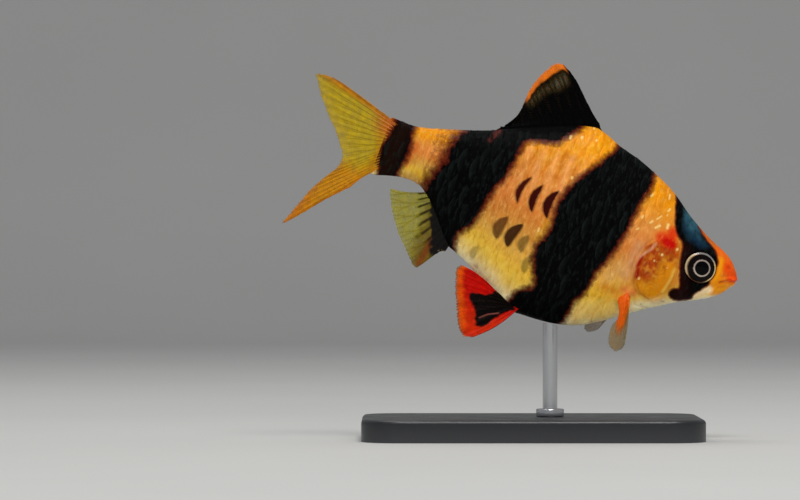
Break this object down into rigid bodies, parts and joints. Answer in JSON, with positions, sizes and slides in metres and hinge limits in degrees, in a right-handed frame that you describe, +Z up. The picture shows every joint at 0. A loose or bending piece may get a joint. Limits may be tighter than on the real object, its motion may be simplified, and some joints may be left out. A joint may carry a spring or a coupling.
{
  "type": "tiger barb",
  "caption": "small deep-bodied freshwater fish with bold dark bars and fanned fins, swimming nose down above a flat display base on one thin rod",
  "frame": {"origin": "middle of the stand base's underside", "axes": "+X to the side the snout points to, the longest extent; the fish's right flank faces -Y; +Z up"},
  "size_m": [0.0619, 0.028, 0.0509],
  "materials": {
    "head_skin": "wet scaleless skin, red-orange snout, satin",
    "jaw_skin": "wet skin, pale orange with red lips, satin",
    "gill_cover_gold": "wet, gold sheen with a dark red rim",
    "eye_black": "wet gloss, black with silver and pale gold rings",
    "flank_orange": "small wet scales, orange-gold with black bars, satin",
    "dorsal_black": "thin membrane on rays, black with an orange-red rim",
    "anal_pale_yellow": "thin clear membrane on rays, pale yellow-olive",
    "caudal_amber": "thin clear membrane on rays, amber with orange edges",
    "pelvic_red": "thin membrane on rays, red with black wedges",
    "pectoral_orange": "thin clear membrane on orange rays",
    "base_black": "satin black paint",
    "rod_steel": "polished"
  },
  "bodies": {
    "root": {"head": "head_skin", "lower_jaw": "jaw_skin", "gill_cover_right": "gill_cover_gold", "gill_cover_left": "gill_cover_gold", "eye_right": "eye_black", "eye_left": "eye_black", "torso": "flank_orange", "tail_stem": "flank_orange", "dorsal_fin": "dorsal_black", "anal_fin": "anal_pale_yellow", "caudal_fin_upper": "caudal_amber", "caudal_fin_lower": "caudal_amber", "pelvic_fin_right": "pelvic_red", "pelvic_fin_left": "pelvic_red", "pectoral_fin_right": "pectoral_orange", "pectoral_fin_left": "pectoral_orange", "stand_base": "base_black", "stand_rod": "rod_steel"}
  },
  "joints": []
}
